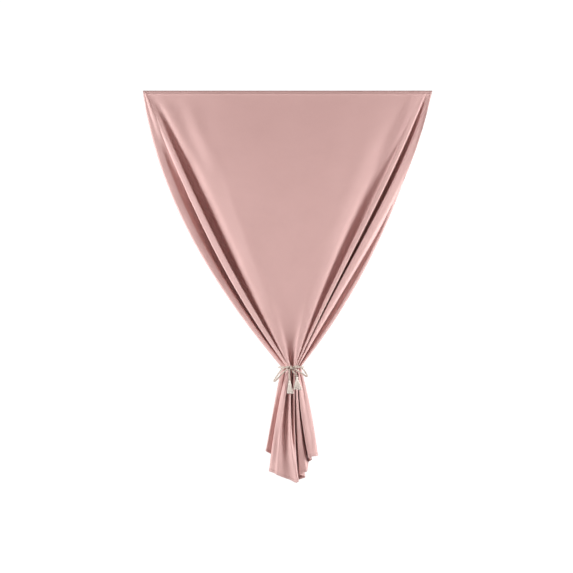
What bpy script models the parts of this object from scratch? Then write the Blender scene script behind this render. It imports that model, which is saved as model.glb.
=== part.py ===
"""A blackout curtain gathered at the middle by a tasselled cord, at rest, in metres, with +Z up.

The origin is the middle of the straight top edge. The room is at -Y and the wall at +Y. The panel is one
rectangular cloth: its top edge is fixed straight, its folds run from the two top corners down to the cord,
and below the cord they open again into a tail with an uneven lower edge.
"""

from collections import namedtuple
from math import cos, pi, sin

import bpy
import numpy as np

MM = 0.001

# The panel.
NECK_TOP = 1.331
NECK_BOTTOM = 1.345
CLOTH = 0.0018
HEM_CLOTH = 0.0030
FOLDS_OPEN = 0.05
TUCK_START = 0.45
TUCK_RISE = 5.2

# The cord and its tassels.
CORD = 0.0075
KNOT = (0.0165, -0.102, -1.337)
KNOT_SIZE = (0.024, 0.018, 0.015)

# Levels of the panel: shares of the way from the top edge to the neck, then from the neck to the hem.
UPPER_LEVELS = (
    0.0, 0.0135, 0.017, 0.05, 0.1, 0.17, 0.25, 0.34, 0.43, 0.52, 0.61, 0.7, 0.78, 0.85, 0.905, 0.95, 0.98, 1.0,
)
TAIL_LEVELS = (0.0, 0.04, 0.1, 0.2, 0.33, 0.47, 0.61, 0.75, 0.87, 0.96, 0.97, 1.0)
HEADING_LEVELS = 2
HEM_LEVELS = 2

# One row for each fold line of the panel, from its left side edge to its right one, in millimetres. Above the
# neck, top_x is where the line leaves the top edge, bulge and skew how far it bows sideways, at the middle and
# towards its upper end, mid_y how far it stands forward halfway down, and dip how much farther lower down.
# neck and hem are where it passes the cord and the lower edge. In the tail, sway is how far it bows sideways and
# tuck how far it falls back below the cord. corner is how far to each side of the line the cloth turns, and turns
# how many steps it takes.
Fold = namedtuple(
    "Fold", "name top_x bulge skew mid_y dip neck_x neck_y hem_x hem_y hem_z sway tuck corner turns")
FOLDS = (
    Fold("left side edge", -700, -126, 0, -16, 0, 2, -17, -52, -4, -1722, 0, 0, 6, 1),
    Fold("left back tuck", -699, -118, 0, -10, 0, -25, -26, -94, -14, -1733, 0, 0, 8, 2),
    Fold("left outer fold", -698, -115, -2, -49, 0, -34, -46, -101, -46, -1742, 0, 0, 9, 2),
    Fold("left outer shoulder", -695, -88, 2, -47, 0, -14, -54, -78, -24, -1757, 0, 0, 4, 2),
    Fold("left trough", -693, -77, 8, -10, -20, -10, -56, -70, -12, -1765, -4, 20, 3, 1),
    Fold("left trough end", -691, -57, 8, -10, -20, -5.5, -56, -62, -10, -1770, -4, 20, 3, 1),
    Fold("left narrow ridge", -689, -58, 8, -64, 0, -4.5, -80, -84, -58, -1839, -8, 0, 3, 2),
    Fold("left ridge edge", -686, -34, 3, -72, 0, 3, -85, -76, -64, -1842, -9, 0, 3, 2),
    Fold("left deep trough", -672, -35, 6, -10, -8, 4, -89, -66, -67, -1846, -9, 0, 6, 1),
    Fold("left deep trough end", -655, -15, 6, -2, -8, 7.5, -89, -60, -70, -1849, -8, 0, 5, 2),
    Fold("left shoulder", -640, -10, 7, -46, 0, 8.5, -86, -54, -76, -1853, -8, 0, 9, 2),
    Fold("left broad crest", -600, -4, 2, -68, 0, 10, -87, -48, -80, -1857, -11, 0, 20, 2),
    Fold("left edge of the flat", -401, -26, -14, -88, 0, 13, -79, -14, -68, -1871, -17, 28, 14, 3),
    Fold("left of the middle", -220, -12, 0, -85, 0, 15, -64, 12, -71, -1878, -23, 24, 60, 2),
    Fold("middle", -90, -4, 0, -84, 0, 17.5, -60, 33, -79, -1890, -13, -22, 60, 2),
    Fold("right of the middle", 30, -4, 0, -83, 0, 20, -60, 43, -86, -1894, -16, -8, 60, 2),
    Fold("middle of the right half", 150, -10, 0, -83, 0, 23.5, -67, 50, -90, -1889, -18, 38, 60, 1),
    Fold("far right of the middle", 300, -20, 6, -84, 0, 28, -75, 51, -84, -1888, -15, 34, 60, 2),
    Fold("right edge of the flat", 500, -41, 13, -85, 0, 32.5, -84, 51, -62, -1886, -11, 0, 26, 2),
    Fold("right broad crest", 590, -30, 0, -71, 0, 35.5, -86, 51, -46, -1884, -9, 0, 20, 2),
    Fold("right inner trough", 612, -17, 4, -38, -18, 36.5, -86, 51, 0, -1882, -5, 14, 10, 2),
    Fold("right inner trough end", 640, 2, 10, -36, -18, 40.5, -86, 92, -40, -1867, -2, 14, 10, 2),
    Fold("right narrow ridge", 655, 0, 7, -76, 0, 41.5, -85, 57, -60, -1853, -6, 0, 4, 2),
    Fold("right ridge edge", 668, 13, 8, -74, 0, 43.2, -83, 92, -58, -1840, -10, 0, 4, 2),
    Fold("right deep trough", 674, 19, 9, -8, 0, 44.2, -56, 99, 0, -1796, -6, 14, 3, 1),
    Fold("right deep trough end", 680, 25, 12, -8, 0, 48.4, -56, 119, -32, -1783, 0, 14, 3, 1),
    Fold("right shoulder", 685, 27, 14, -74, 0, 49.4, -80, 101, -66, -1773, -10, 0, 5, 2),
    Fold("right wide fold", 690, 62, 16, -68, 0, 51.2, -77, 112, -70, -1768, -4, 0, 10, 2),
    Fold("right outer trough", 694, 70, 14, -50, -10, 52.4, -54, 121, -68, -1766.5, 3, -8, 4, 1),
    Fold("right outer trough end", 695.5, 76, 9, -49, -10, 56.6, -53, 127, -66, -1766, 3, -8, 4, 1),
    Fold("right lower fold", 697, 79, 4, -53, 0, 58, -62, 134, -63, -1765, 4, 0, 6, 2),
    Fold("right outer fold", 698.5, 83, -4, -46, 0, 67, -50, 147, -52, -1764, 8, 0, 9, 2),
    Fold("right back tuck", 699.3, 70, 0, -8, 0, 54, -22, 128, -14, -1745, 0, 0, 8, 2),
    Fold("right side edge", 700, 90, 0, -14, 0, 30, -16, 62, -6, -1722, 0, 0, 6, 1),
)

# The cord's route, part by part, in millimetres. Each part starts and ends at the knot or at a tassel.
WAIST_ROUTE = (
    (5.2, -98, -1336), (-10, -92.5, -1336), (-24, -79, -1336), (-37, -65, -1337), (-42, -51, -1337),
    (-37.5, -31, -1337), (-24, -13.5, -1337), (4, -9, -1337), (33, -10.3, -1337), (55.5, -15, -1337),
    (69, -29, -1337), (74.3, -48, -1336), (71.5, -66, -1335), (58.5, -82.5, -1335), (43, -93, -1335),
    (28.2, -98, -1335.5),
)
LEFT_LOOP_ROUTE = (
    (5.6, -106.7, -1332.8), (-9, -112, -1335), (-26, -116, -1345), (-42, -117.5, -1364), (-55.5, -117, -1384.5),
    (-62.8, -112.5, -1395.5), (-65, -101.5, -1402.5), (-59.5, -90.5, -1401.5), (-50, -86, -1393),
    (-36.5, -87.5, -1378), (-22.5, -92.5, -1363.5), (-8.5, -99.5, -1350.5), (4.2, -106.3, -1342),
)
RIGHT_LOOP_ROUTE = (
    (28, -107, -1332.7), (44, -112, -1330.8), (60, -116, -1334.5), (74, -117.5, -1345.5), (85, -117, -1359.5),
    (91.5, -112.5, -1370.5), (94, -101.5, -1378), (89, -90.5, -1379), (80, -86, -1373.5), (67, -87.5, -1364.5),
    (53.5, -92.5, -1355.5), (41, -99.5, -1348), (28.3, -106.1, -1341.8),
)
LEFT_TAIL_ROUTE = (
    (11.4, -102, -1344.7), (8.2, -105, -1356), (8, -109, -1372), (8.6, -109, -1388), (9.5, -109, -1399),
)
RIGHT_TAIL_ROUTE = (
    (21, -102, -1345.1), (25.6, -104.8, -1353.8), (33.6, -110, -1363), (41, -110.6, -1372.2), (45, -109, -1380.8),
)

# The tassels: the top of the head, the lower end of the skirt's middle, and half its width and depth there.
Tassel = namedtuple("Tassel", "name top bottom half_width half_depth")
TASSELS = (
    Tassel("left_tassel", (9.5, -109, -1399.7), (13, -108, -1461), 14.5, 11),
    Tassel("right_tassel", (45.2, -109, -1382.3), (48, -108, -1442), 18, 12),
)
# The head's outline, as radius and depth below its top, in millimetres: a bead, a neck and the skirt's root.
HEAD_OUTLINE = ((2.5, 0), (4.6, 1), (5.6, 4), (4.8, 7), (4.2, 8), (4.2, 11), (5.4, 12.5), (7.4, 16), (7.6, 18))
# The skirt grows from these rings under the head, one strand from each cell between them.
ROOT_RINGS = (6.2, 4.8, 3.4, 2.0)
ROOT_RISE = 0.4
STRANDS_ROUND = 16
STRAND_STEPS = 2
STRAND_SHARE = 0.72
STRAND_TAPER = 0.25


def upper_point(fold, share):
    """Where a fold line is at a share of the way from the top edge down to the neck."""
    bow = 4 * share * (1 - share)
    lean = 10.39 * share * (1 - share) * (1 - 2 * share)
    x = fold.top_x + (fold.neck_x - fold.top_x) * share + fold.bulge * bow + fold.skew * lean
    opening = (1 + 2 * FOLDS_OPEN) * share / (share + FOLDS_OPEN)
    y = fold.neck_y * share + (fold.mid_y - fold.neck_y / 2) * bow * opening + fold.dip * lean
    return x * MM, y * MM, -NECK_TOP * share


def tail_point(fold, share):
    """Where a fold line is at a share of the way from the neck down to the hem."""
    bow = 4 * share * (1 - share)
    x = fold.neck_x + (fold.hem_x - fold.neck_x) * share + fold.sway * bow
    tuck = fold.tuck * (TUCK_START + TUCK_RISE * share) * (1 - share) ** 2
    y = fold.neck_y + (fold.hem_y - fold.neck_y) * share + tuck
    return x * MM, y * MM, -NECK_BOTTOM + (fold.hem_z * MM + NECK_BOTTOM) * share


def across(points):
    """The cloth's line through the fold points of one level: straight between folds, and rounded at each."""
    points = np.array(points)
    line = [points[0]]
    for k in range(1, len(points) - 1):
        here = points[k]
        back, ahead = points[k - 1] - here, points[k + 1] - here
        before, after = np.linalg.norm(back), np.linalg.norm(ahead)
        start = here + back / before * min(FOLDS[k].corner * MM, 0.47 * before)
        end = here + ahead / after * min(FOLDS[k].corner * MM, 0.47 * after)
        for i in range(FOLDS[k].turns + 1):
            s = i / FOLDS[k].turns
            line.append(start * (1 - s) ** 2 + here * 2 * s * (1 - s) + end * s * s)
    line.append(points[-1])
    return line


def add_object(name, mesh, material):
    obj = bpy.data.objects.new(name, mesh)
    bpy.context.scene.collection.objects.link(obj)
    mesh.materials.append(material)
    return obj


def make_material(name, colour, roughness):
    material = bpy.data.materials.new(name)
    material.use_nodes = True
    shader = material.node_tree.nodes["Principled BSDF"]
    shader.inputs["Base Color"].default_value = (*colour, 1)
    shader.inputs["Roughness"].default_value = roughness
    shader.inputs["Metallic"].default_value = 0
    return material


def make_panel(material):
    rows = [across([upper_point(f, t) for f in FOLDS]) for t in UPPER_LEVELS]
    rows += [across([tail_point(f, t) for f in FOLDS]) for t in TAIL_LEVELS]
    columns = len(rows[0])
    points = [tuple(p) for row in rows for p in row]
    faces = []
    for i in range(len(rows) - 1):
        for j in range(columns - 1):
            a = i * columns + j
            faces.append((a, a + columns, a + columns + 1, a + 1))
    mesh = bpy.data.meshes.new("curtain_panel")
    mesh.from_pydata(points, [], faces)
    panel = add_object("curtain_panel", mesh, material)
    turned = panel.vertex_groups.new(name="turned edges")
    bands = list(range(HEADING_LEVELS)) + list(range(len(rows) - HEM_LEVELS, len(rows)))
    turned.add([i * columns + j for i in bands for j in range(columns)], 1.0, "REPLACE")
    thick = panel.modifiers.new("cloth thickness", "SOLIDIFY")
    thick.thickness = HEM_CLOTH
    thick.offset = 1
    thick.vertex_group = "turned edges"
    thick.thickness_vertex_group = CLOTH / HEM_CLOTH
    return panel


def smooth_route(route, spacing):
    """Evenly spaced points on a smooth curve through the route's points, in metres."""
    points = np.array(route) * MM
    padded = np.vstack([2 * points[0] - points[1], points, 2 * points[-1] - points[-2]])
    fine = [points[0]]
    for k in range(1, len(padded) - 2):
        p0, p1, p2, p3 = padded[k - 1:k + 3]
        for s in np.linspace(0, 1, 17)[1:]:
            bend = (2 * p0 - 5 * p1 + 4 * p2 - p3) * s * s + (3 * p1 - p0 - 3 * p2 + p3) * s ** 3
            fine.append(0.5 * (2 * p1 + (p2 - p0) * s + bend))
    fine = np.array(fine)
    run = np.concatenate([[0], np.cumsum(np.linalg.norm(np.diff(fine, axis=0), axis=1))])
    marks = np.linspace(0, run[-1], max(4, round(run[-1] / spacing) + 1))
    return np.column_stack([np.interp(marks, run, fine[:, axis]) for axis in range(3)])


def make_cord(name, route, spacing, material):
    curve = bpy.data.curves.new(name, "CURVE")
    curve.dimensions = "3D"
    curve.bevel_depth = CORD / 2
    curve.bevel_resolution = 3
    curve.use_fill_caps = True
    points = smooth_route(route, spacing)
    spline = curve.splines.new("POLY")
    spline.points.add(len(points) - 1)
    for point, place in zip(spline.points, points):
        point.co = (*place, 1)
    return add_object(name, curve, material)


def make_knot(material):
    """A small hard knot: a flattened ball drawn in by the turns of cord round it."""
    round_count, rings = 20, 10
    points = [(0, 0, KNOT_SIZE[2] / 2)]
    for i in range(1, rings):
        tilt = pi * i / rings
        for j in range(round_count):
            turn = 2 * pi * j / round_count
            pinch = 1 - 0.08 * cos(3 * turn + 4 * tilt) ** 2 * sin(tilt)
            points.append((
                pinch * sin(tilt) * cos(turn) * KNOT_SIZE[0] / 2,
                pinch * sin(tilt) * sin(turn) * KNOT_SIZE[1] / 2,
                cos(tilt) * KNOT_SIZE[2] / 2,
            ))
    points.append((0, 0, -KNOT_SIZE[2] / 2))
    last = len(points) - 1
    faces = []
    for j in range(round_count):
        k = (j + 1) % round_count
        faces.append((0, 1 + j, 1 + k))
        for i in range(rings - 2):
            a, b = 1 + i * round_count, 1 + (i + 1) * round_count
            faces.append((a + j, b + j, b + k, a + k))
        faces.append((last, last - round_count + k, last - round_count + j))
    mesh = bpy.data.meshes.new("knot")
    mesh.from_pydata([tuple(np.add(p, KNOT)) for p in points], [], faces)
    return add_object("knot", mesh, material)


def strand_faces(first, corners):
    """A strand's faces: the collar round its root, its sides and its end."""
    faces = []
    rings = [corners] + [tuple(first + 4 * step + m for m in range(4)) for step in range(STRAND_STEPS + 1)]
    for upper, lower in zip(rings, rings[1:]):
        for m in range(4):
            n = (m + 1) % 4
            faces.append((upper[m], upper[n], lower[n], lower[m]))
    faces.append(rings[-1])
    return faces


def make_tassel(tassel, material):
    """A bound head with a skirt of separate strands that spread evenly from its underside."""
    top = np.array(tassel.top) * MM
    bottom = np.array(tassel.bottom) * MM
    axis = (bottom - top) / np.linalg.norm(bottom - top)
    count = STRANDS_ROUND
    rim_radius, rim_depth = HEAD_OUTLINE[-1]
    rings = list(HEAD_OUTLINE)
    rings += [(radius, rim_depth + ROOT_RISE * (k + 1)) for k, radius in enumerate(ROOT_RINGS)]
    centres = [top + axis * depth * MM for radius, depth in rings]
    points = []
    for (radius, depth), centre in zip(rings, centres):
        for j in range(count):
            turn = 2 * pi * j / count
            points.append(centre + np.array((cos(turn), sin(turn), 0)) * radius * MM)
    faces = [tuple(range(count))]
    spread = np.array((tassel.half_width, tassel.half_depth)) / rim_radius
    for i in range(len(rings) - 1):
        for j in range(count):
            k = (j + 1) % count
            corners = (i * count + j, (i + 1) * count + j, (i + 1) * count + k, i * count + k)
            if i < len(HEAD_OUTLINE) - 1:
                faces.append(corners)
                continue
            places = [points[c] for c in corners]
            root = sum(places) / 4
            uneven = 0.97 + 0.03 * sin(5.1 * j + 2.3 * i)
            end = bottom + np.array((0, 0, 0.0016 * (1 + sin(3.7 * j + 1.9 * i))))
            end[:2] += (root - centres[i])[:2] * spread * uneven
            first = len(points)
            for step in range(STRAND_STEPS + 1):
                s = step / STRAND_STEPS
                place = root + (end - root) * s
                place[:2] += (end - root)[:2] * 0.25 * s * (1 - s)
                size = STRAND_SHARE * (1 - STRAND_TAPER * s)
                points.extend(place + (p - root) * size for p in places)
            faces.extend(strand_faces(first, corners))
    last = (len(rings) - 1) * count
    faces.append(tuple(last + j for j in reversed(range(count))))
    mesh = bpy.data.meshes.new(tassel.name)
    mesh.from_pydata([tuple(p) for p in points], [], faces)
    return add_object(tassel.name, mesh, material)


def main():
    for obj in list(bpy.data.objects):
        bpy.data.objects.remove(obj)
    cloth = make_material("dusty pink blackout cloth", (0.62, 0.38, 0.35), 0.8)
    make_panel(cloth)
    routes = (
        ("waist_cord", WAIST_ROUTE, 0.009),
        ("left_bow_loop", LEFT_LOOP_ROUTE, 0.006),
        ("right_bow_loop", RIGHT_LOOP_ROUTE, 0.006),
        ("left_cord_tail", LEFT_TAIL_ROUTE, 0.008),
        ("right_cord_tail", RIGHT_TAIL_ROUTE, 0.006),
    )
    for name, route, spacing in routes:
        make_cord(name, route, spacing, make_material(f"cream cord, {name}", (0.72, 0.66, 0.60), 0.7))
    make_knot(make_material("cream cord, knot", (0.72, 0.66, 0.60), 0.7))
    for tassel in TASSELS:
        make_tassel(tassel, make_material(f"cream yarn, {tassel.name}", (0.70, 0.62, 0.55), 0.8))


main()
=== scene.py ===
"""The looks of a blackout curtain gathered by a tasselled cord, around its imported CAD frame.

Everything is in metres with +Z up, apart from the tables, which are in millimetres. The origin is
the middle of the curtain's top edge, and the room is at -Y.
"""

from collections import namedtuple
from math import cos, pi, sin, tau

import bpy
import numpy as np
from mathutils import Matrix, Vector

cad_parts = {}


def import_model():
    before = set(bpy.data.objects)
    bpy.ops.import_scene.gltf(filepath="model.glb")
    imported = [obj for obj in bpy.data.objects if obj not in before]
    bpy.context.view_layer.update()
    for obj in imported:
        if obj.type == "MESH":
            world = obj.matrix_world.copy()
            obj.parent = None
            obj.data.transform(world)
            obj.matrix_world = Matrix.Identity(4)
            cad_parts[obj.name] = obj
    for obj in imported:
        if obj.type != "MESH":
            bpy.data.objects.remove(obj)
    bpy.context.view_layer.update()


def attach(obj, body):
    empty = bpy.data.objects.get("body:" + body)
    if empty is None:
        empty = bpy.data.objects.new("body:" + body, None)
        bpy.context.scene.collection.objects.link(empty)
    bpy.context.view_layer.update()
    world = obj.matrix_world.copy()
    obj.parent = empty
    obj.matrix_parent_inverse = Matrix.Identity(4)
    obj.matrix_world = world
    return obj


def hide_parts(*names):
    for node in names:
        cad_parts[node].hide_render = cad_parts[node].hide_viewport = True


MM = 0.001

# Camera: the photograph is square, with the top edge's middle at this pixel, seen straight on by a long lens.
# PIXEL is the size of one of its pixels at the curtain.
PHOTO_WIDTH = 573
PIXEL = 1.400 / 289.5
TOP_EDGE_PIXEL = (287.1, 90.2)
CAMERA_DISTANCE = 26.0
CAMERA_REACH = 90
SENSOR = 36.0

# Studio: an even warm fill that the camera sees as white, tall soft lights at both sides of the curtain, and
# weaker ones in front of it and behind it.
WORLD_FILL = 0.27
FILL_COLOUR = (1, 0.52, 0.47, 1)
WHITE = (1, 1, 1, 1)
SEEN_WHITE = 1.05
SIDE_AWAY = 3.4
SIDE_FORWARD = -0.9
SIDE_LEVEL = -0.50
SIDE_SIZE = (1.4, 2.2)
SIDE_POWER = 199
SIDE_COLOUR = (0.88, 1.0, 1.0)
CURTAIN_MIDDLE = (0, 0, -0.9)
FRONT_PLACE = (0, -5.5, 0.6)
FRONT_POWER = 4
BACK_PLACE = (0, 5, 0)
BACK_POWER = 110
WIDE_SIZE = (3.0, 3.0)
FLOOR_HALF = 14.0
FLOOR_LEVEL = -2.75
FLOOR_COLOUR = (0.9, 0.9, 0.9, 1)
FLOOR_ROUGHNESS = 0.9

# Panel: its flat size, its turned edges, the levels where the cord grips it, and how thick it is.
WIDTH = 1.400
LENGTH = 1.900
HEADING = 0.018
HEM = 0.016
NECK_TOP = 1.331
NECK_BOTTOM = 1.345
CLOTH = 0.0018
HEM_CLOTH = 0.0028

# The panel's rows, above the neck and below it. Those through the heading are shares of its depth, those
# through the hem shares of the tail. Between the heading and the neck the rows close up a little downwards.
# The outermost rows are the turned edges, and the hem's seam is counted from the end.
UPPER_ROWS = 113
TAIL_ROWS = 59
HEADING_SHARES = (0, 0.35, 0.72, 0.86, 0.93, 1, 1.12, 1.35)
ROW_SPREAD = 1.15
EVEN_TAIL = 0.962
HEM_SHARES = (0.968, 0.972, 0.976, 0.984, 0.992, 1.0)
HEADING_ROWS = 6
HEM_ROWS = 4
HEADING_SEAM_ROW = 4
HEM_SEAM_ROW = -5

# How the cloth runs along a row: points this far apart on the straight runs, counted along the top edge, and
# finer steps round each fold, which takes at most this share of the run beside it.
TOP_SPACING = 24
TURN_SCALE = 2
CORNER_SHARE = 0.47

# The folds' curves: LEAN_SCALE brings the lean's peak to 1, FOLDS_OPEN is how soon the folds open below the
# top edge, and the other two are how a fold that falls back below the cord starts and grows.
LEAN_SCALE = 10.39
FOLDS_OPEN = 0.05
TUCK_START = 0.45
TUCK_RISE = 5.2

# How far the weave keeps to the top edge, where the cloth is spread. For the rest it keeps to the hem.
TOP_WEIGHT = 0.35

# Soft creases and slackness: how much a crease wanders, over what length, how it fades at its ends, and how
# far from the top edge and from the cord the cloth is held smooth. Lengths are in millimetres.
CREASE_WANDER = 0.12
CREASE_WAVE = 47
CREASE_FADE = 0.8
HELD_REACH = 60

# The cloth's looks: the darker and lighter shades of its mottle, its thicker threads, the painted shade that
# darkens its turned edges at the heading and the hem, and how strongly each of them shows. The weave is a
# product of sines, so its threads are half a repeat apart.
CLOTH_SHADES = ((0.562, 0.344, 0.328, 1), (0.638, 0.397, 0.381, 1))
SLUB_SHADE = (0.74, 0.52, 0.50, 1)
SLUB_WEIGHT = 0.25
SLUB_STRETCH = (1400, 60, 1)
# A painted shade for the heading and the hem, and how strongly it shows on each.
PAINTED_EDGE_SHADE = (0.49, 0.31, 0.295, 1)
HEADING_SHADE_WEIGHT = 0.8
HEM_SHADE_WEIGHT = 0.35
SHEEN_TINT = (1.0, 0.86, 0.83, 1)
WEAVE_REPEAT = 0.0011
WEAVE_HEIGHT = 0.5

# The yarns' looks: name, darker shade, lighter shade, and how fine the fibres are. Patches of shade are this
# many times as large as the fibres.
CORD_LOOK = ("cream cotton cord", (0.37, 0.29, 0.245, 1), (0.70, 0.59, 0.52, 1), 1500)
YARN_LOOK = ("cream cotton yarn", (0.60, 0.52, 0.46, 1), (0.97, 0.89, 0.83, 1), 1200)
SEWING_LOOK = ("pink sewing thread", (0.49, 0.28, 0.27, 1), (0.66, 0.41, 0.40, 1), 2500)
PATCH_SCALE = 12

# Stitches. STITCH_LIFT is how far each point of a stitch stands out of the cloth, in thread thicknesses.
STITCH_PITCH = 0.0042
STITCH_LENGTH = 0.0032
STITCH_LIFT = (-0.35, 0.28, 0.42, 0.28, -0.35)
STITCH_SIDES = 6
HEADING_THREAD = 0.0009
HEM_THREAD = 0.0008

# Cord: its thickness, the spacing of its rings, its twist, and the shape of its strands as shares of its
# radius. Its route is rounded in CURVE_STEPS between two points, and one point in PATH_STEP is passed on.
CORD = 0.0075
ROPE_STEP = 0.0011
ROPE_TWIST = 0.013
ROPE_STRANDS = 3
ROPE_ROUND = 18
ROPE_CORE = 0.86
ROPE_LOBE = 0.22
ROPE_LOBE_POWER = 0.7
CURVE_STEPS = 16

# The knot, in millimetres: its middle, the height and bow of the strands that cross it, how far they bulge
# forward, and the shift, lean and half height of the turns that bind them.
KNOT = (16.5, -102, -1337)
KNOT_STRANDS = ((3.0, -2.2), (-3.4, 1.8))
KNOT_MARKS = (-10.5, -7, -3.5, 0, 3.5, 7, 10.5)
KNOT_BULGE = 2.2
KNOT_BULGE_REACH = 9
KNOT_BOW_REACH = 8
KNOT_STRAND_SIZE = 0.92
KNOT_TURNS = ((-2.6, 1.6, 6.2), (3.4, -1.0, 5.6))
KNOT_TURN_BACK = 0.4
KNOT_TURN_HALF_DEPTH = 7.4
KNOT_TURN_SIZE = 0.72
KNOT_TURN_STEPS = 44

# The tassels, in millimetres: the top of the head, the lower end of the skirt's middle, and half its width
# and depth there.
Tassel = namedtuple("Tassel", "name top bottom half_width half_depth")
TASSELS = (
    Tassel("left_tassel", (9.5, -109, -1399.7), (13, -108, -1461), 15.5, 11),
    Tassel("right_tassel", (45.2, -109, -1382.3), (48, -108, -1442), 20.5, 12),
)
TASSEL_SEED = 11

# A tassel's head, as radius and depth below its top in millimetres, and its faint ridges of folded yarn.
HEAD_OUTLINE = (
    (0.4, -1.2), (2.8, -0.6), (4.4, 0.8), (5.4, 2.6), (5.7, 4.4), (5.3, 6.2), (4.6, 7.6), (4.2, 8.6),
    (4.2, 11.4), (4.9, 12.6), (6.3, 14.6), (7.4, 17), (7.8, 20),
)
HEAD_ROUND = 66
HEAD_RIDGES = 22
RIDGE_HEIGHT = 0.05
RIDGE_TWIST = 0.25
RIDGE_START = 0.4
RIDGE_GROWTH = 3

# The thread wound round a tassel's neck: its turns, their first depth, rise and radius in millimetres, and
# its own radius and twist.
BINDING_TURNS = 5
BINDING_STEPS = 20
BINDING_TOP = 8.2
BINDING_RISE = 0.72
BINDING_RADIUS = 4.75
BINDING_THREAD = 0.00052
BINDING_TWIST = 0.004
BINDING_ROUND = 6

# A tassel's skirt: the yarns' own shape, then in millimetres the depth and the distance from the middle at
# which they leave the head. The outermost ones, past RIM_STARTS, start a little further in, under the head's
# edge.
SKIRT_STRANDS = 230
STRAND = 0.00074
STRAND_TWIST = 0.02
STRAND_ROUND = 5
STRAND_RINGS = 7
YARN_PLIES = 2
ROOT_DEPTH = 13.2
ROOT_SLOPE = 5.0
ROOT_RADIUS = 1.0
ROOT_SPREAD = 5.8
RIM_SPREAD = 5.2
RIM_STARTS = 0.8

# How unevenly the yarns lie: around the head, in their flare, in where they are cut, and in how much shorter
# the inner ones are. Then the belly of the skirt, and the lean and the waves of its yarns.
TURN_SCATTER = 0.05
FLARE_SCATTER = 0.035
CUT_LENGTH = 0.0016
CUT_SCATTER = 0.7
CUT_SLOPE = 0.0018
SKIRT_BELLY = 0.42
LEAN_SCATTER = 0.0007
WAVE_HEIGHT = 0.0006
WAVE_TURN = 5.0

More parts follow.
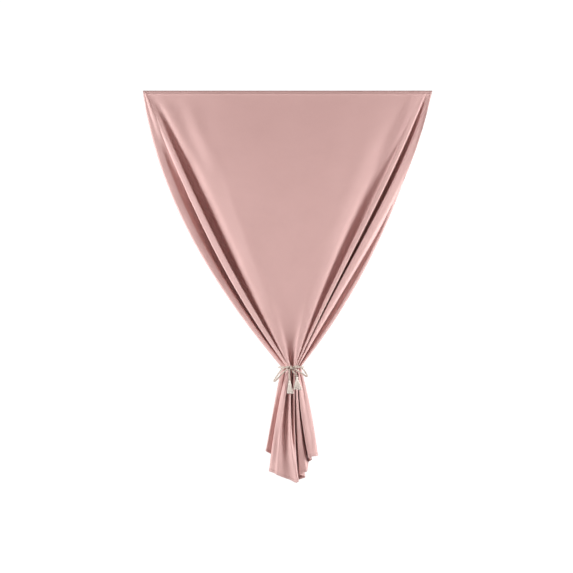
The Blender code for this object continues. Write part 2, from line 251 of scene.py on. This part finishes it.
# One row for each fold line of the panel, from its left side edge to its right one, in millimetres. Above the
# neck, top_x is where the line leaves the top edge, bulge how far it bows sideways, and skew how far it leans
# sideways in its upper half, and the other way in its lower one. mid_y is its depth halfway down, and dip
# what is added to that in the upper half and taken off in the lower one. neck and hem are where it passes the
# cord and the lower edge. In the tail, sway is how far it bows sideways and tuck how far it falls back below
# the cord. corner is how far to each side of the line the cloth turns, and turns how many steps it takes.
Fold = namedtuple(
    "Fold", "name top_x bulge skew mid_y dip neck_x neck_y hem_x hem_y hem_z sway tuck corner turns")
FOLDS = (
    Fold("left side edge", -700, -126, 0, -16, 0, 2, -17, -52, -4, -1722, 0, 0, 6, 1),
    Fold("left back tuck", -699, -121, 0, -10, 0, -25, -26, -97, -14, -1733, 0, 0, 8, 2),
    Fold("left outer fold", -698, -120, -2, -49, 0, -34, -46, -106, -46, -1742, 0, 0, 9, 2),
    Fold("left outer shoulder", -695, -88, 2, -47, 0, -15.5, -54, -78, -24, -1757, 0, 0, 4, 2),
    Fold("left trough", -693, -77, 8, -10, -20, -12, -56, -70, -12, -1765, -4, 20, 3, 1),
    Fold("left trough end", -691, -57, 8, -10, -20, -5.5, -56, -62, -10, -1770, -4, 20, 3, 1),
    Fold("left narrow ridge", -689, -58, 8, -64, 0, -4.5, -80, -88.5, -58, -1839, -8, 0, 3, 2),
    Fold("left ridge edge", -686, -34, 3, -72, 0, 3, -85, -79, -64, -1842, -9, 0, 3, 2),
    Fold("left deep trough", -672, -35, 6, -10, -2, 4, -89, -66, -67, -1846, -9, 0, 6, 1),
    Fold("left deep trough end", -655, -15, 6, -7, -3, 7.5, -89, -60, -70, -1849, -8, 0, 5, 2),
    Fold("left shoulder", -640, -10, 7, -46, 0, 8.5, -86, -54, -76, -1853, -8, 0, 9, 2),
    Fold("left broad crest", -600, -4, 2, -68, 0, 10, -87, -48, -80, -1857, -11, 0, 20, 2),
    Fold("left edge of the flat", -401, -26, -14, -88, 0, 13, -79, -14, -68, -1871, -17, 28, 14, 3),
    Fold("left of the middle", -220, -12, 0, -85, 0, 15, -63, 12, -71, -1878, -23, 24, 60, 2),
    Fold("middle", -90, -4, 0, -84, 0, 17.5, -60, 33, -79, -1890, -13, -22, 60, 2),
    Fold("right of the middle", 30, -4, 0, -83, 0, 20, -61, 43, -86, -1894, -16, -8, 60, 2),
    Fold("middle of the right half", 150, -10, 0, -83, 0, 23.5, -64, 50, -90, -1889, -18, 38, 60, 1),
    Fold("far right of the middle", 300, -20, 6, -84, 0, 28, -71, 51, -84, -1888, -15, 34, 60, 2),
    Fold("right edge of the flat", 500, -41, 13, -85, 0, 32.5, -84, 51, -62, -1886, -11, 0, 26, 2),
    Fold("right broad crest", 590, -30, 0, -71, 0, 35.5, -86, 51, -46, -1884, -9, 0, 20, 2),
    Fold("right inner trough", 612, -17, 4, -47, -12, 36.5, -86, 51, 0, -1882, -5, 14, 18, 3),
    Fold("right inner trough end", 640, 2, 10, -44, -10, 40.5, -86, 92, -40, -1867, -2, 14, 16, 3),
    Fold("right narrow ridge", 655, 0, 7, -76, 0, 41.5, -85, 57, -60, -1853, -6, 0, 4, 2),
    Fold("right ridge edge", 668, 13, 8, -74, 0, 43.2, -83, 92, -58, -1840, -10, 0, 4, 2),
    Fold("right deep trough", 674, 19, 9, -8, 0, 44.2, -56, 99, 0, -1796, -6, 14, 3, 1),
    Fold("right deep trough end", 680, 25, 12, -8, 0, 48.4, -56, 119, -32, -1783, 0, 14, 3, 1),
    Fold("right shoulder", 685, 27, 14, -74, 0, 49.4, -80, 101, -66, -1773, -10, 0, 5, 2),
    Fold("right wide fold", 690, 62, 16, -68, 0, 51.2, -77, 112, -70, -1768, -4, 0, 10, 2),
    Fold("right outer trough", 694, 70, 14, -50, -10, 52.4, -50, 121, -68, -1766.5, 3, -8, 4, 1),
    Fold("right outer trough end", 695.5, 76, 8, -49, -10, 56.6, -49, 127, -66, -1766, 3, -8, 4, 1),
    Fold("right lower fold", 697, 80, 1, -53, 0, 58, -62, 134, -63, -1765, 4, 0, 6, 2),
    Fold("right outer fold", 698.5, 85, -9, -50, 0, 67, -57, 147, -52, -1764, 8, 0, 9, 2),
    Fold("right back tuck", 699.3, 70, 0, -8, 0, 54, -22, 128, -14, -1745, 0, 0, 8, 2),
    Fold("right side edge", 700, 90, 0, -14, 0, 30, -16, 62, -6, -1722, 0, 0, 6, 1),
)

# How many points the cloth has along each straight run between two folds.
FILLS = [
    max(1, round((after.top_x - before.top_x) / TOP_SPACING)) for before, after in zip(FOLDS, FOLDS[1:])
]

# The cord's route, part by part, in millimetres. Each part starts and ends at the knot or at a tassel.
ROUTES = {
    "waist_cord": (
        (5.2, -98, -1336), (-10, -92.5, -1336), (-24, -79, -1336), (-37, -65, -1337), (-42, -51, -1337),
        (-37.5, -31, -1337), (-24, -13.5, -1337), (4, -9, -1337), (33, -10.3, -1337), (55.5, -15, -1337),
        (69, -29, -1337), (74.3, -48, -1336), (71.5, -66, -1335), (58.5, -82.5, -1335), (43, -93, -1335),
        (28.2, -98, -1335.5),
    ),
    "left_bow_loop": (
        (5.6, -106.7, -1332.8), (-9, -112, -1335), (-26, -116, -1345), (-42, -117.5, -1364),
        (-55.5, -117, -1384.5), (-62.8, -112.5, -1395.5), (-65, -101.5, -1402.5),
        (-59.5, -90.5, -1401.5), (-50, -86, -1393), (-36.5, -87.5, -1378), (-22.5, -92.5, -1363.5),
        (-8.5, -99.5, -1350.5), (4.2, -106.3, -1342),
    ),
    "right_bow_loop": (
        (28, -107, -1332.7), (44, -112, -1330.8), (60, -116, -1334.5), (74, -117.5, -1345.5),
        (85, -117, -1359.5), (91.5, -112.5, -1370.5), (94, -101.5, -1378),
        (89, -90.5, -1379), (80, -86, -1373.5), (67, -87.5, -1364.5), (53.5, -92.5, -1355.5),
        (41, -99.5, -1348), (28.3, -106.1, -1341.8),
    ),
    "left_cord_tail": (
        (11.4, -102, -1344.7), (8.2, -105, -1356), (8, -109, -1372), (8.6, -109, -1388), (9.5, -109, -1399),
    ),
    "right_cord_tail": (
        (21, -102, -1345.1), (25.6, -104.8, -1353.8), (33.6, -110, -1363), (41, -110.6, -1372.2),
        (45, -109, -1380.8),
    ),
}

# Soft creases laid over the main folds, in millimetres: a line from start to end in the front view, how far
# the crease reaches to either side, and how far it stands out of the cloth (in, where it is negative).
Crease = namedtuple("Crease", "start end reach depth")
CREASES = (
    Crease((-610, -40), (-470, -330), 26, 5),
    Crease((-560, -30), (-380, -420), 34, -5),
    Crease((-500, -30), (-330, -400), 30, 4),
    Crease((-420, -20), (-250, -620), 45, -3),
    Crease((-180, -60), (-110, -620), 70, 3),
    Crease((60, -80), (20, -760), 80, -3),
    Crease((250, -40), (140, -640), 60, 3),
    Crease((560, -60), (400, -420), 30, -3),
    Crease((610, -60), (470, -360), 20, 3),
    Crease((-70, -1600), (-74, -1800), 14, 3),
    Crease((-38, -1420), (-50, -1830), 16, -3),
    Crease((20, -1560), (34, -1860), 12, 2),
    Crease((110, -1500), (125, -1740), 14, -3),
    Crease((-80, -1450), (-92, -1700), 12, 3),
)


def shader_of(name):
    material = bpy.data.materials.new(name)
    material.use_nodes = True
    tree = material.node_tree
    return material, tree, tree.nodes["Principled BSDF"]


def node(tree, kind, **values):
    """Adds a node. A value named in_X goes to its input X, a name or a number, any other to the node."""
    made = tree.nodes.new(kind)
    for key, value in values.items():
        if key.startswith("in_"):
            socket = key[3:]
            made.inputs[int(socket) if socket.isdigit() else socket.replace("_", " ")].default_value = value
        else:
            setattr(made, key, value)
    return made


def math_node(tree, operation, first, second=None):
    made = node(tree, "ShaderNodeMath", operation=operation)
    for i, value in enumerate((first, second)):
        if value is None:
            continue
        if isinstance(value, (int, float)):
            made.inputs[i].default_value = value
        else:
            tree.links.new(value, made.inputs[i])
    return made.outputs[0]


def mix_colour(tree, factor, first, second):
    made = node(tree, "ShaderNodeMix", data_type="RGBA")
    for socket, value in ((0, factor), (6, first), (7, second)):
        if isinstance(value, bpy.types.NodeSocket):
            tree.links.new(value, made.inputs[socket])
        else:
            made.inputs[socket].default_value = value
    return made.outputs[2]


def cloth_material():
    """Dense plain-weave blackout cloth: dusty pink, softly mottled, with painted shade darkening its turned
    edges.
    """
    material, tree, shader = shader_of("dusty pink blackout cloth")
    link = tree.links.new
    uv = node(tree, "ShaderNodeUVMap", uv_map="cloth")
    split = node(tree, "ShaderNodeSeparateXYZ")
    link(uv.outputs[0], split.inputs[0])
    across, down = split.outputs[0], split.outputs[1]
    warp = math_node(tree, "SINE", math_node(tree, "MULTIPLY", across, tau / WEAVE_REPEAT))
    weft = math_node(tree, "SINE", math_node(tree, "MULTIPLY", down, tau / WEAVE_REPEAT))
    over = math_node(tree, "MULTIPLY", warp, weft)
    slub = node(tree, "ShaderNodeTexNoise", in_Scale=1.0, in_Detail=3.0)
    stretch = node(tree, "ShaderNodeVectorMath", operation="MULTIPLY")
    stretch.inputs[1].default_value = SLUB_STRETCH
    link(uv.outputs[0], stretch.inputs[0])
    link(stretch.outputs[0], slub.inputs["Vector"])
    weave = math_node(tree, "ADD", math_node(tree, "MULTIPLY", over, WEAVE_HEIGHT), slub.outputs[0])
    # Broad, faint changes of shade where the cloth has been folded and handled.
    mottle = node(tree, "ShaderNodeTexNoise", in_Scale=7.0, in_Detail=4.0, in_Roughness=0.6)
    link(uv.outputs[0], mottle.inputs["Vector"])
    base = mix_colour(tree, mottle.outputs[0], *CLOTH_SHADES)
    threads = mix_colour(tree, math_node(tree, "MULTIPLY", slub.outputs[0], SLUB_WEIGHT), base, SLUB_SHADE)
    # Painted shade: the heading band and the hem are mixed towards a darker colour that stands in for shade.
    heading = math_node(tree, "LESS_THAN", down, HEADING)
    hem = math_node(tree, "GREATER_THAN", down, LENGTH - HEM)
    turned = math_node(
        tree, "ADD",
        math_node(tree, "MULTIPLY", heading, HEADING_SHADE_WEIGHT), math_node(tree, "MULTIPLY", hem, HEM_SHADE_WEIGHT))
    link(mix_colour(tree, turned, threads, PAINTED_EDGE_SHADE), shader.inputs["Base Color"])
    bump = node(tree, "ShaderNodeBump", in_Strength=0.25, in_Distance=0.0003)
    link(weave, bump.inputs["Height"])
    link(bump.outputs[0], shader.inputs["Normal"])
    rough = node(tree, "ShaderNodeMapRange", in_3=0.68, in_4=0.86)
    link(mottle.outputs[0], rough.inputs[0])
    link(rough.outputs[0], shader.inputs["Roughness"])
    shader.inputs["Specular IOR Level"].default_value = 0.12
    shader.inputs["Sheen Weight"].default_value = 0.10
    shader.inputs["Sheen Roughness"].default_value = 0.45
    shader.inputs["Sheen Tint"].default_value = SHEEN_TINT
    return material


def yarn_material(name, dark, light, scale):
    """Matte yarn: fine fibres, and broader patches of the same two shades."""
    material, tree, shader = shader_of(name)
    link = tree.links.new
    place = node(tree, "ShaderNodeTexCoord")
    fibre = node(tree, "ShaderNodeTexNoise", in_Scale=scale, in_Detail=4.0, in_Roughness=0.7)
    link(place.outputs["Object"], fibre.inputs["Vector"])
    patch = node(tree, "ShaderNodeTexNoise", in_Scale=scale / PATCH_SCALE, in_Detail=2.0)
    link(place.outputs["Object"], patch.inputs["Vector"])
    both = math_node(tree, "MULTIPLY", math_node(tree, "ADD", fibre.outputs[0], patch.outputs[0]), 0.5)
    link(mix_colour(tree, both, dark, light), shader.inputs["Base Color"])
    bump = node(tree, "ShaderNodeBump", in_Strength=0.5, in_Distance=0.0005)
    link(fibre.outputs[0], bump.inputs["Height"])
    link(bump.outputs[0], shader.inputs["Normal"])
    shader.inputs["Roughness"].default_value = 0.85
    shader.inputs["Specular IOR Level"].default_value = 0.2
    shader.inputs["Sheen Weight"].default_value = 0.3
    shader.inputs["Sheen Roughness"].default_value = 0.5
    return material


def mesh_object(name, points, faces, material, smooth=True):
    mesh = bpy.data.meshes.new(name)
    mesh.from_pydata([tuple(p) for p in points], [], faces)
    mesh.polygons.foreach_set("use_smooth", [smooth] * len(mesh.polygons))
    mesh.materials.append(material)
    obj = bpy.data.objects.new(name, mesh)
    bpy.context.scene.collection.objects.link(obj)
    return obj


def step_lengths(line):
    return np.linalg.norm(np.diff(line, axis=0), axis=1)


def run_along(line):
    """How far along a line each of its points is."""
    return np.concatenate([[0], np.cumsum(step_lengths(line))])


def at_marks(marks, run, values):
    """A line's positions or directions at some distances along it."""
    return np.column_stack([np.interp(marks, run, values[:, axis]) for axis in range(3)])


def add_tube_faces(faces, first, rings, around, clockwise=False):
    """Joins rings of points into a closed tube. first is the number of the first ring's first point."""
    for i in range(rings - 1):
        a, b = first + i * around, first + (i + 1) * around
        for j in range(around):
            n = (j + 1) % around
            faces.append((a + j, b + j, b + n, a + n) if clockwise else (a + j, a + n, b + n, b + j))
    start = tuple(range(first, first + around))
    end = tuple(range(first + (rings - 1) * around, first + rings * around))
    faces.extend((start, end[::-1]) if clockwise else (start[::-1], end))


def upper_point(fold, share):
    """Where a fold line is at a share of the way from the top edge down to the neck."""
    bow = 4 * share * (1 - share)
    lean = LEAN_SCALE * share * (1 - share) * (1 - 2 * share)
    x = fold.top_x + (fold.neck_x - fold.top_x) * share + fold.bulge * bow + fold.skew * lean
    opening = (1 + 2 * FOLDS_OPEN) * share / (share + FOLDS_OPEN)
    y = fold.neck_y * share + (fold.mid_y - fold.neck_y / 2) * bow * opening + fold.dip * lean
    return x * MM, y * MM, -NECK_TOP * share


def tail_point(fold, share):
    """Where a fold line is at a share of the way from the neck down to the hem."""
    bow = 4 * share * (1 - share)
    x = fold.neck_x + (fold.hem_x - fold.neck_x) * share + fold.sway * bow
    tuck = fold.tuck * (TUCK_START + TUCK_RISE * share) * (1 - share) ** 2
    y = fold.neck_y + (fold.hem_y - fold.neck_y) * share + tuck
    return x * MM, y * MM, -NECK_BOTTOM + (fold.hem_z * MM + NECK_BOTTOM) * share


def straight(start, end, count):
    return [start + (end - start) * (i + 1) / (count + 1) for i in range(count)]


def across(points):
    """The cloth's line through the fold points of one level: straight between folds, and rounded at each."""
    points = np.array(points)
    line = [points[0]]
    previous = points[0]
    for k in range(1, len(points) - 1):
        here, fold = points[k], FOLDS[k]
        back, ahead = points[k - 1] - here, points[k + 1] - here
        before, after = np.linalg.norm(back), np.linalg.norm(ahead)
        start = here + back / before * min(fold.corner * MM, CORNER_SHARE * before)
        end = here + ahead / after * min(fold.corner * MM, CORNER_SHARE * after)
        line.extend(straight(previous, start, FILLS[k - 1]))
        steps = fold.turns * TURN_SCALE
        for i in range(steps + 1):
            s = i / steps
            line.append(start * (1 - s) ** 2 + here * 2 * s * (1 - s) + end * s * s)
        previous = end
    line.extend(straight(previous, points[-1], FILLS[-1]))
    line.append(points[-1])
    return line


def upper_levels():
    """Rows through the heading, then wider ones down to the neck."""
    heading = [HEADING / NECK_TOP * share for share in HEADING_SHARES]
    last = heading[-1]
    rest = 1 - (1 - np.linspace(0, 1, UPPER_ROWS - len(heading) + 1)[1:]) ** ROW_SPREAD
    return heading + [last + (1 - last) * t for t in rest]


def tail_levels():
    """Even rows below the neck, then closer ones through the hem."""
    return [*np.linspace(0, EVEN_TAIL, TAIL_ROWS - len(HEM_SHARES)), *HEM_SHARES]


def creased(points):
    """Moves the panel's points by the soft creases and by a faint slackness of the whole cloth."""
    x, z = points[:, 0] / MM, points[:, 2] / MM
    out = np.zeros(len(points))
    for crease in CREASES:
        start, end = np.array(crease.start, float), np.array(crease.end, float)
        run = np.linalg.norm(end - start)
        way = (end - start) / run
        along = (x - start[0]) * way[0] + (z - start[1]) * way[1]
        aside = (x - start[0]) * way[1] - (z - start[1]) * way[0]
        aside = aside + CREASE_WANDER * crease.reach * np.sin(along / CREASE_WAVE)
        fade = np.sin(pi * np.clip(along / run, 0, 1)) ** CREASE_FADE
        out += crease.depth * fade * np.exp(-(aside / crease.reach) ** 2)
    # The slackness: low waves, with lengths and heights in millimetres, that don't line up.
    slack = 0.8 * np.sin(x / 61 + z / 173) * np.sin(z / 97 - x / 211) + 0.5 * np.sin(x / 23 - z / 89 + 1.3)
    neck = (NECK_TOP + NECK_BOTTOM) / 2 / MM
    free = np.clip(-z / HELD_REACH, 0, 1) * np.clip(np.abs(z + neck) / HELD_REACH, 0, 1)
    moved = points.copy()
    moved[:, 1] -= (out + slack) * free * MM
    return moved


def make_panel(material):
    """The gathered panel, and its points row by row."""
    upper, tail = upper_levels(), tail_levels()
    rows = [across([upper_point(f, t) for f in FOLDS]) for t in upper]
    rows += [across([tail_point(f, t) for f in FOLDS]) for t in tail]
    columns = len(rows[0])
    points = creased(np.array(rows).reshape(-1, 3))
    faces = []
    for i in range(len(rows) - 1):
        for j in range(columns - 1):
            a = i * columns + j
            faces.append((a, a + columns, a + columns + 1, a + 1))
    panel = mesh_object("curtain_cloth", points, faces, material)
    # The cloth's own coordinates in metres, for its weave: across from its middle, down from its top edge.
    top = np.array(rows[0])[:, 0]
    hem_run = run_along(np.array(rows[-1]))
    spread = (hem_run / hem_run[-1] - 0.5) * WIDTH
    width = TOP_WEIGHT * top + (1 - TOP_WEIGHT) * spread
    grid = points.reshape(len(rows), columns, 3)
    runs = np.linalg.norm(np.diff(grid, axis=0), axis=2)
    down = np.vstack([np.zeros(columns), np.cumsum(runs, axis=0)])
    down[len(upper):] += LENGTH - down[-1]
    layer = panel.data.uv_layers.new(name="cloth")
    corners = np.zeros(len(panel.data.loops), int)
    panel.data.loops.foreach_get("vertex_index", corners)
    uv = np.column_stack([width[corners % columns], down.reshape(-1)[corners]])
    layer.data.foreach_set("uv", uv.reshape(-1))
    turned = panel.vertex_groups.new(name="turned edges")
    bands = [*range(HEADING_ROWS), *range(len(rows) - HEM_ROWS, len(rows))]
    turned.add([i * columns + j for i in bands for j in range(columns)], 1.0, "REPLACE")
    thick = panel.modifiers.new("cloth thickness", "SOLIDIFY")
    thick.thickness = HEM_CLOTH
    thick.offset = 1
    thick.vertex_group = "turned edges"
    thick.thickness_vertex_group = CLOTH / HEM_CLOTH
    thick.use_rim = True
    return panel, grid


def normals_of(grid):
    """The direction out of the cloth's front at each of its points."""
    out = np.cross(np.gradient(grid, axis=0), np.gradient(grid, axis=1))
    return out / np.linalg.norm(out, axis=2)[:, :, None]


def smooth_route(route, spacing):
    """Evenly spaced points on a smooth curve through the route's points, in metres."""
    points = np.array(route) * MM
    padded = np.vstack([2 * points[0] - points[1], points, 2 * points[-1] - points[-2]])
    fine = [points[0]]
    for k in range(1, len(padded) - 2):
        p0, p1, p2, p3 = padded[k - 1:k + 3]
        for s in np.linspace(0, 1, CURVE_STEPS + 1)[1:]:
            bend = (2 * p0 - 5 * p1 + 4 * p2 - p3) * s * s + (3 * p1 - p0 - 3 * p2 + p3) * s ** 3
            fine.append(0.5 * (2 * p1 + (p2 - p0) * s + bend))
    fine = np.array(fine)
    run = run_along(fine)
    marks = np.linspace(0, run[-1], max(4, round(run[-1] / spacing) + 1))
    return at_marks(marks, run, fine)


def frames_along(path):
    """For each point of a path, two directions square to it that turn as little as they can."""
    way = np.gradient(path, axis=0)
    way /= np.linalg.norm(way, axis=1)[:, None]
    # Any direction would do that no path starts along.
    start = np.cross(way[0], (0.3, 0.2, 1.0))
    side = start / np.linalg.norm(start)
    sides = []
    for w in way:
        side = side - w * side.dot(w)
        side /= np.linalg.norm(side)
        sides.append(side)
    sides = np.array(sides)
    return sides, np.cross(way, sides)


def add_rope(points, faces, path, radius, twist=ROPE_TWIST, strands=ROPE_STRANDS, around=ROPE_ROUND):
    """Adds a rope of twisted strands to points and faces. The strands turn once in a length of twist."""
    side, up = frames_along(path)
    run = run_along(path)
    first = len(points)
    for k, centre in enumerate(path):
        for j in range(around):
            turn = tau * j / around
            lobe = abs(sin(strands * (turn - tau * run[k] / twist) / 2))
            r = radius * (ROPE_CORE + ROPE_LOBE * lobe ** ROPE_LOBE_POWER)
            points.append(centre + (side[k] * cos(turn) + up[k] * sin(turn)) * r)
    add_tube_faces(faces, first, len(path), around)


def make_rope(name, route, material):
    path = smooth_route(route, ROPE_STEP)
    points, faces = [], []
    add_rope(points, faces, path, CORD / 2)
    return mesh_object(name, points, faces, material), path


def knot_turn(shift, lean, half_height):
    """The closed path of one turn around the knot's crossing strands, in metres."""
    centre = (np.array(KNOT) + (shift, KNOT_TURN_BACK, 0)) * MM
    path = []
    for i in range(KNOT_TURN_STEPS + 1):
        turn = tau * i / KNOT_TURN_STEPS
        offset = (lean * sin(turn), KNOT_TURN_HALF_DEPTH * cos(turn), half_height * sin(turn))
        path.append(centre + np.array(offset) * MM)
    return np.array(path)


def make_knot(material):
    """The knot's two crossing strands and the turns that bind them."""
    points, faces = [], []
    for height, bow in KNOT_STRANDS:
        offsets = [
            (x, -KNOT_BULGE * cos(x / KNOT_BULGE_REACH), height + bow * cos(x / KNOT_BOW_REACH))
            for x in KNOT_MARKS
        ]
        strand = np.array(KNOT) + np.array(offsets)
        add_rope(points, faces, smooth_route(strand, ROPE_STEP), CORD / 2 * KNOT_STRAND_SIZE)
    for shift, lean, half_height in KNOT_TURNS:
        add_rope(points, faces, knot_turn(shift, lean, half_height), CORD / 2 * KNOT_TURN_SIZE)
    return mesh_object("cord_knot", points, faces, material)


def make_tassel(tassel, material, seed):
    """A folded-over head bound with thread, and a bell of fine yarns cut a little unevenly."""
    rng = np.random.default_rng(seed)
    top, bottom = np.array(tassel.top) * MM, np.array(tassel.bottom) * MM
    way = (bottom - top) / np.linalg.norm(bottom - top)
    points, faces = [], []
    for radius, depth in HEAD_OUTLINE:
        centre = top + way * depth * MM
        for j in range(HEAD_ROUND):
            turn = tau * j / HEAD_ROUND
            fade = min(1, depth / RIDGE_GROWTH + RIDGE_START)
            r = radius * MM * (1 + RIDGE_HEIGHT * cos(turn * HEAD_RIDGES + RIDGE_TWIST * depth) * fade)
            points.append(centre + np.array((r * cos(turn), r * sin(turn), 0)))
    add_tube_faces(faces, 0, len(HEAD_OUTLINE), HEAD_ROUND, clockwise=True)

    wound = []
    for i in range(BINDING_TURNS * BINDING_STEPS + 1):
        turn = tau * i / BINDING_STEPS
        depth = (BINDING_TOP + BINDING_RISE * i / BINDING_STEPS) * MM
        r = BINDING_RADIUS * MM
        wound.append(top + way * depth + np.array((r * cos(turn), r * sin(turn), 0)))
    add_rope(points, faces, np.array(wound), BINDING_THREAD, BINDING_TWIST, YARN_PLIES, BINDING_ROUND)

    # The yarns leave the head's underside in a spiral from its middle, and the outer ones flare most.
    golden = pi * (3 - 5 ** 0.5)
    for k in range(SKIRT_STRANDS):
        share = ((k + 0.5) / SKIRT_STRANDS) ** 0.5
        turn = golden * k + rng.normal(0, TURN_SCATTER)
        root_depth = (ROOT_DEPTH + ROOT_SLOPE * share) * MM
        root_radius = (ROOT_RADIUS + (RIM_SPREAD if share > RIM_STARTS else ROOT_SPREAD) * share) * MM
        start = top + way * root_depth + np.array((cos(turn), sin(turn), 0)) * root_radius
        flare = share * (1 + rng.normal(0, FLARE_SCATTER))
        end = bottom + np.array((
            cos(turn) * tassel.half_width * MM * flare,
            sin(turn) * tassel.half_depth * MM * flare,
            CUT_LENGTH * rng.normal(0, CUT_SCATTER) + CUT_SLOPE * (1 - share),
        ))
        wave, lean = rng.uniform(0, tau), rng.normal(0, LEAN_SCATTER)
        path = []
        for i in range(STRAND_RINGS):
            s = i / (STRAND_RINGS - 1)
            p = start + (end - start) * s
            p[:2] += (end - start)[:2] * SKIRT_BELLY * s * (1 - s)
            wobble = WAVE_HEIGHT * sin(wave + WAVE_TURN * s) * s + lean * s * (1 - s)
            p += np.array((-sin(turn), cos(turn), 0)) * wobble
            path.append(p)
        add_rope(points, faces, np.array(path), STRAND, STRAND_TWIST, YARN_PLIES, STRAND_ROUND)
    return mesh_object(tassel.name + "_yarn", points, faces, material)


def add_stitches(name, line, outward, thread, material):
    """A row of short sewing stitches along a line that lies on the cloth, as one joined mesh."""
    run = run_along(line)
    points, faces = [], []
    last = len(STITCH_LIFT) - 1
    for k in range(int(run[-1] / STITCH_PITCH)):
        marks = [(k + 0.5) * STITCH_PITCH + STITCH_LENGTH * (i / last - 0.5) for i in range(last + 1)]
        path, away = at_marks(marks, run, line), at_marks(marks, run, outward)
        first = len(points)
        along = path[-1] - path[0]
        along /= np.linalg.norm(along)
        for centre, out, lift in zip(path, away, STITCH_LIFT):
            beside = np.cross(along, out)
            for j in range(STITCH_SIDES):
                turn = tau * j / STITCH_SIDES
                side = out * sin(turn) + beside * cos(turn)
                points.append(centre + out * lift * thread + side * thread / 2)
        add_tube_faces(faces, first, last + 1, STITCH_SIDES, clockwise=True)
    return mesh_object(name, points, faces, material)


def add_camera():
    pixel_x, pixel_y = TOP_EDGE_PIXEL
    middle = (PHOTO_WIDTH - 1) / 2
    data = bpy.data.cameras.new("photo_camera")
    camera = bpy.data.objects.new("photo_camera", data)
    bpy.context.scene.collection.objects.link(camera)
    camera.location = ((middle - pixel_x) * PIXEL, -CAMERA_DISTANCE, -(middle - pixel_y) * PIXEL)
    camera.rotation_euler = (pi / 2, 0, 0)
    data.sensor_width = SENSOR
    data.lens = SENSOR * CAMERA_DISTANCE / (PHOTO_WIDTH * PIXEL)
    data.clip_end = CAMERA_REACH
    bpy.context.scene.camera = camera


def add_light(name, place, aim, size, power, colour=(1, 1, 1)):
    data = bpy.data.lights.new(name, "AREA")
    data.shape = "RECTANGLE"
    data.size, data.size_y = size
    data.energy = power
    data.color = colour
    light = bpy.data.objects.new(name, data)
    bpy.context.scene.collection.objects.link(light)
    light.location = place
    light.rotation_mode = "QUATERNION"
    light.rotation_quaternion = (Vector(aim) - Vector(place)).to_track_quat("-Z", "Y")


def add_floor():
    """A pale floor that the camera sees as white."""
    material, tree, shader = shader_of("pale floor")
    shader.inputs["Base Color"].default_value = FLOOR_COLOUR
    shader.inputs["Roughness"].default_value = FLOOR_ROUGHNESS
    shader.inputs["Emission Color"].default_value = WHITE
    ray = node(tree, "ShaderNodeLightPath")
    tree.links.new(ray.outputs["Is Camera Ray"], shader.inputs["Emission Strength"])
    corners = [(x * FLOOR_HALF, y * FLOOR_HALF, FLOOR_LEVEL) for x, y in ((-1, -1), (1, -1), (1, 1), (-1, 1))]
    mesh_object("pale_floor", corners, [(0, 1, 2, 3)], material, smooth=False)


def add_world():
    """An even warm fill that the camera sees as a white surround."""
    world = bpy.data.worlds.new("white studio")
    bpy.context.scene.world = world
    world.use_nodes = True
    tree = world.node_tree
    fill = tree.nodes["Background"]
    fill.inputs[0].default_value = FILL_COLOUR
    fill.inputs[1].default_value = WORLD_FILL
    seen = node(tree, "ShaderNodeBackground", in_0=WHITE, in_1=SEEN_WHITE)
    ray = node(tree, "ShaderNodeLightPath")
    mix = node(tree, "ShaderNodeMixShader")
    tree.links.new(ray.outputs["Is Camera Ray"], mix.inputs[0])
    tree.links.new(fill.outputs[0], mix.inputs[1])
    tree.links.new(seen.outputs[0], mix.inputs[2])
    tree.links.new(mix.outputs[0], tree.nodes["World Output"].inputs[0])


def add_studio():
    add_floor()
    add_world()
    for name, side in (("left softbox", -1), ("right softbox", 1)):
        place, aim = (side * SIDE_AWAY, SIDE_FORWARD, SIDE_LEVEL), (0, 0, SIDE_LEVEL)
        add_light(name, place, aim, SIDE_SIZE, SIDE_POWER, SIDE_COLOUR)
    add_light("front softbox", FRONT_PLACE, CURTAIN_MIDDLE, WIDE_SIZE, FRONT_POWER)
    add_light("back softbox", BACK_PLACE, CURTAIN_MIDDLE, WIDE_SIZE, BACK_POWER)


def main():
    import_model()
    scene = bpy.context.scene
    scene.view_settings.view_transform = "Standard"
    scene.view_settings.look = "None"
    add_camera()

    cord, yarn = yarn_material(*CORD_LOOK), yarn_material(*YARN_LOOK)
    ropes = {name: make_rope(name + "_rope", route, cord) for name, route in ROUTES.items()}
    knot = make_knot(cord)
    tassels = [make_tassel(tassel, yarn, TASSEL_SEED + i) for i, tassel in enumerate(TASSELS)]

    panel, grid = make_panel(cloth_material())
    thread = yarn_material(*SEWING_LOOK)
    out = normals_of(grid)
    seam, outward = grid[HEADING_SEAM_ROW], out[HEADING_SEAM_ROW]
    heading_stitches = add_stitches(
        "heading_stitches", seam + outward * HEM_CLOTH, outward, HEADING_THREAD, thread)
    seam, outward = grid[HEM_SEAM_ROW], out[HEM_SEAM_ROW]
    hem_stitches = add_stitches("hem_stitches", seam + outward * CLOTH, outward, HEM_THREAD, thread)

    for name, (rope, _) in ropes.items():
        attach(rope, "root")
        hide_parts(name)
    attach(knot, "root")
    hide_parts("knot")
    for tassel, made in zip(TASSELS, tassels):
        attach(made, "root")
        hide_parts(tassel.name)
    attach(panel, "root")
    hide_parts("curtain_panel")
    for stitches in (heading_stitches, hem_stitches):
        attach(stitches, "root")

    for name in ("left_bow_loop", "right_bow_loop"):
        rope, path = ropes[name]
    for name, tassel in zip(("left_cord_tail", "right_cord_tail"), tassels):
        rope, path = ropes[name]

    add_studio()


main()
